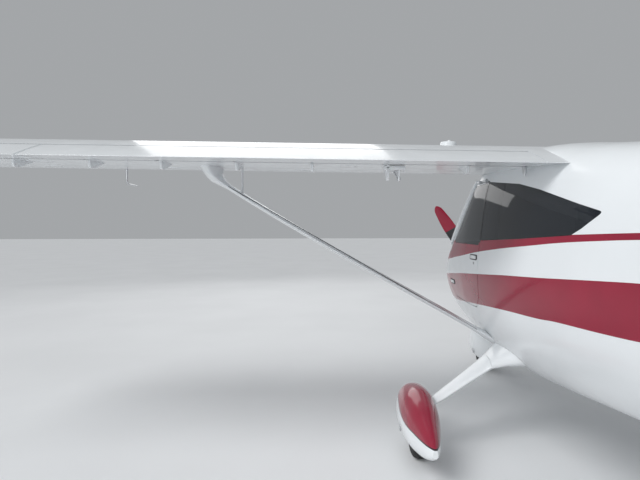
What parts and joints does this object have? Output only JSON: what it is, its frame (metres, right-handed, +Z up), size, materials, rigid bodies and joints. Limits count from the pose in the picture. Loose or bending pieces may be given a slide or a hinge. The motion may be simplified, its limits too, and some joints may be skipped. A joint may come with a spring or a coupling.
{
  "type": "ultralight aircraft",
  "caption": "High-wing ultralight aeroplane with strut-braced wings, side-by-side seats, top-hinged doors, a nose wheel and main wheels in fairings, and a tractor propeller.",
  "frame": {"origin": "on the ground under the middle of the overall box", "axes": "+X forward to the propeller, +Y to the left wing tip, +Z up"},
  "size_m": [6.68, 9.4, 2.29],
  "materials": {
    "gelcoat_white": "gloss white gelcoat over composite",
    "gelcoat_crimson": "gloss crimson paint over composite",
    "tinted_glass": "dark tinted polycarbonate",
    "composite_black": "satin black composite blades",
    "interior_plastic": "grained grey trim",
    "seat_fabric": "woven upholstery",
    "tyre": "black rubber",
    "aluminium": "machined",
    "steel": "satin",
    "engine_iron": "dark casting"
  },
  "bodies": {
    "airframe": {"fuselage_shell": "gelcoat_white", "windshield": "tinted_glass", "cowling_upper": "gelcoat_white", "cowling_lower": "gelcoat_white", "firewall": "aluminium", "engine_block": "engine_iron", "nose_bearing": "aluminium", "fin": "gelcoat_white", "cabin_floor": "interior_plastic", "control_sticks": "interior_plastic", "instrument_panel": "interior_plastic", "baggage_bulkhead": "seat_fabric", "quarter_window_left": "tinted_glass", "quarter_window_right": "tinted_glass", "wing_left": "gelcoat_white", "wing_right": "gelcoat_white", "strut_left": "gelcoat_white", "strut_right": "gelcoat_white", "gear_leg_left": "gelcoat_white", "gear_leg_right": "gelcoat_white", "axle_left": "steel", "axle_right": "steel", "spat_left": "gelcoat_crimson", "spat_right": "gelcoat_crimson", "stabilizer_left": "gelcoat_white", "stabilizer_right": "gelcoat_white", "seat_left": "seat_fabric", "seat_right": "seat_fabric"},
    "propeller": {"propeller": "composite_black", "spinner": "gelcoat_white"},
    "wheel_left": {"tyre_left": "tyre", "wheel_hub_left": "aluminium"},
    "wheel_right": {"tyre_right": "tyre", "wheel_hub_right": "aluminium"},
    "nose_gear": {"nose_leg": "steel", "nose_axle": "steel", "nose_spat": "gelcoat_crimson"},
    "nose_wheel": {"nose_tyre": "tyre", "nose_hub": "aluminium"},
    "rudder": {"rudder": "gelcoat_white"},
    "elevator": {"elevator": "gelcoat_white"},
    "flap_left": {"flap_left": "gelcoat_white"},
    "flap_right": {"flap_right": "gelcoat_white"},
    "aileron_left": {"aileron_left": "gelcoat_white"},
    "aileron_right": {"aileron_right": "gelcoat_white"},
    "door_left": {"door_left": "gelcoat_white", "door_glass_left": "tinted_glass"},
    "door_right": {"door_right": "gelcoat_white", "door_glass_right": "tinted_glass"}
  },
  "joints": [
    {"name": "propeller_spin", "type": "hinge", "parent": "airframe", "child": "propeller", "pos_m": [3.12, 0, 1.015], "axis": [1, 0, 0], "continuous": true},
    {"name": "wheel_left_spin", "type": "hinge", "parent": "airframe", "child": "wheel_left", "pos_m": [0.74, 1.03, 0.182], "axis": [0, 1, 0], "continuous": true},
    {"name": "wheel_right_spin", "type": "hinge", "parent": "airframe", "child": "wheel_right", "pos_m": [0.74, -1.03, 0.182], "axis": [0, 1, 0], "continuous": true},
    {"name": "nose_steer", "type": "hinge", "parent": "airframe", "child": "nose_gear", "pos_m": [2.76, 0, 0.182], "axis": [-0.1392, 0, 0.9903], "range_deg": [-25, 25]},
    {"name": "nose_wheel_spin", "type": "hinge", "parent": "nose_gear", "child": "nose_wheel", "pos_m": [2.76, 0, 0.182], "axis": [0, 1, 0], "continuous": true},
    {"name": "rudder_turn", "type": "hinge", "parent": "airframe", "child": "rudder", "pos_m": [-2.95, 0, 1.8], "axis": [0, 0, 1], "range_deg": [-25, 25]},
    {"name": "elevator_turn", "type": "hinge", "parent": "airframe", "child": "elevator", "pos_m": [-2.85, 0, 1.24], "axis": [0, 1, 0], "range_deg": [-20, 25]},
    {"name": "flap_left_turn", "type": "hinge", "parent": "airframe", "child": "flap_left", "pos_m": [0.37985, 1.84, 1.85179], "axis": [0, 0.9998, 0.0201], "range_deg": [-38, 0]},
    {"name": "flap_right_turn", "type": "hinge", "parent": "airframe", "child": "flap_right", "pos_m": [0.37985, -1.84, 1.85179], "axis": [0, 0.9998, -0.0201], "range_deg": [-38, 0]},
    {"name": "aileron_left_turn", "type": "hinge", "parent": "airframe", "child": "aileron_left", "pos_m": [0.37985, 3.8, 1.89114], "axis": [0, 0.9998, 0.0201], "range_deg": [-20, 20]},
    {"name": "aileron_right_turn", "type": "hinge", "parent": "airframe", "child": "aileron_right", "pos_m": [0.37985, -3.8, 1.89114], "axis": [0, 0.9998, -0.0201], "range_deg": [-20, 20]},
    {"name": "door_left_swing", "type": "hinge", "parent": "airframe", "child": "door_left", "pos_m": [1.03, 0.544, 1.757], "axis": [1, 0, 0], "range_deg": [0, 80]},
    {"name": "door_right_swing", "type": "hinge", "parent": "airframe", "child": "door_right", "pos_m": [1.03, -0.544, 1.757], "axis": [-1, 0, 0], "range_deg": [0, 80]}
  ],
  "couplings": [
    {"joint": "rudder_turn", "follows": "nose_steer", "ratio": -1},
    {"joint": "flap_left_turn", "follows": "flap_right_turn", "ratio": 1},
    {"joint": "aileron_left_turn", "follows": "aileron_right_turn", "ratio": -1}
  ]
}
